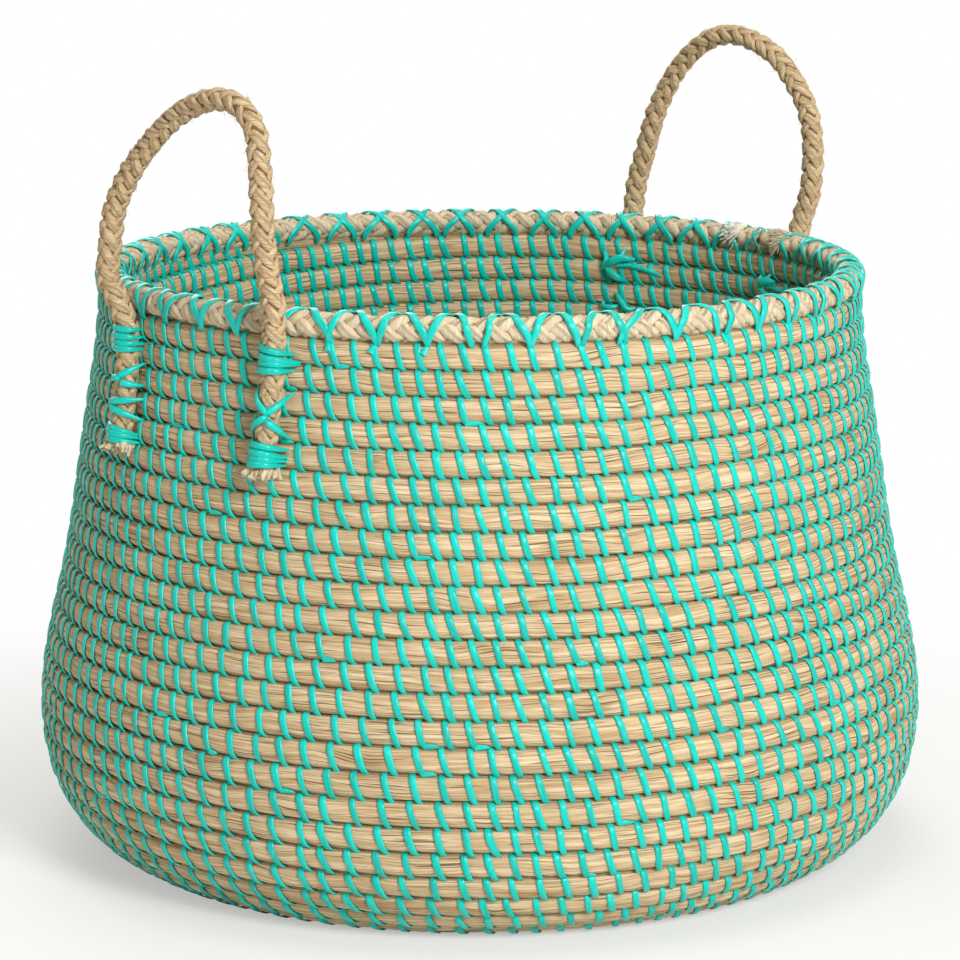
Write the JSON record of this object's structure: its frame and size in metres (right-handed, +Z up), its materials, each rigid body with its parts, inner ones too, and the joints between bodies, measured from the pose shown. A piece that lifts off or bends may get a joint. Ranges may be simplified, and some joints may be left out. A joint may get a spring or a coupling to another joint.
{
  "type": "coiled seagrass belly basket",
  "caption": "Round-bellied coiled seagrass basket with a laced rope rim and two upright rope handles that bend inward and outward.",
  "frame": {"origin": "centre of the basket's footprint, on the surface that it stands on", "axes": "+Z up out of the mouth; +X towards the right handle and -X towards the left handle; +Y between the handles"},
  "size_m": [0.433, 0.4329, 0.3894],
  "materials": {
    "seagrass": "dry natural straw, matte with a slight sheen along the fibres",
    "rim_rope": "pale plaited plant fibre, matte",
    "handle_rope": "tan braided jute, matte and hairy",
    "plastic_strip": "glossy flat plastic strip"
  },
  "bodies": {
    "basket": {"base_coil": "seagrass", "wall_coil": "seagrass", "rim_rope": "rim_rope", "rim_lashing": "plastic_strip", "left_handle_back_leg": "handle_rope", "left_handle_front_leg": "handle_rope", "right_handle_back_leg": "handle_rope", "right_handle_front_leg": "handle_rope", "left_handle_back_upper_band": "plastic_strip", "left_handle_back_lower_band": "plastic_strip", "left_handle_back_lacing": "plastic_strip", "left_handle_back_tie_knot": "plastic_strip", "left_handle_front_upper_band": "plastic_strip", "left_handle_front_lower_band": "plastic_strip", "left_handle_front_lacing": "plastic_strip", "left_handle_front_tie_knot": "plastic_strip", "right_handle_back_upper_band": "plastic_strip", "right_handle_back_lower_band": "plastic_strip", "right_handle_back_lacing": "plastic_strip", "right_handle_back_tie_knot": "plastic_strip", "right_handle_front_upper_band": "plastic_strip", "right_handle_front_lower_band": "plastic_strip", "right_handle_front_lacing": "plastic_strip", "right_handle_front_tie_knot": "plastic_strip"},
    "left_handle": {"left_handle": "handle_rope"},
    "right_handle": {"right_handle": "handle_rope"}
  },
  "joints": [
    {"name": "left_handle_bend", "type": "hinge", "parent": "basket", "child": "left_handle", "pos_m": [-0.18612, 0.00617, 0.29014], "axis": [-0.0332, -0.9995, 0], "range_deg": [-60, 90], "stiffness_Nm_per_rad": 0.08},
    {"name": "right_handle_bend", "type": "hinge", "parent": "basket", "child": "right_handle", "pos_m": [0.18681, 0.0062, 0.29014], "axis": [-0.0332, 0.9995, 0], "range_deg": [-60, 90], "stiffness_Nm_per_rad": 0.08}
  ]
}
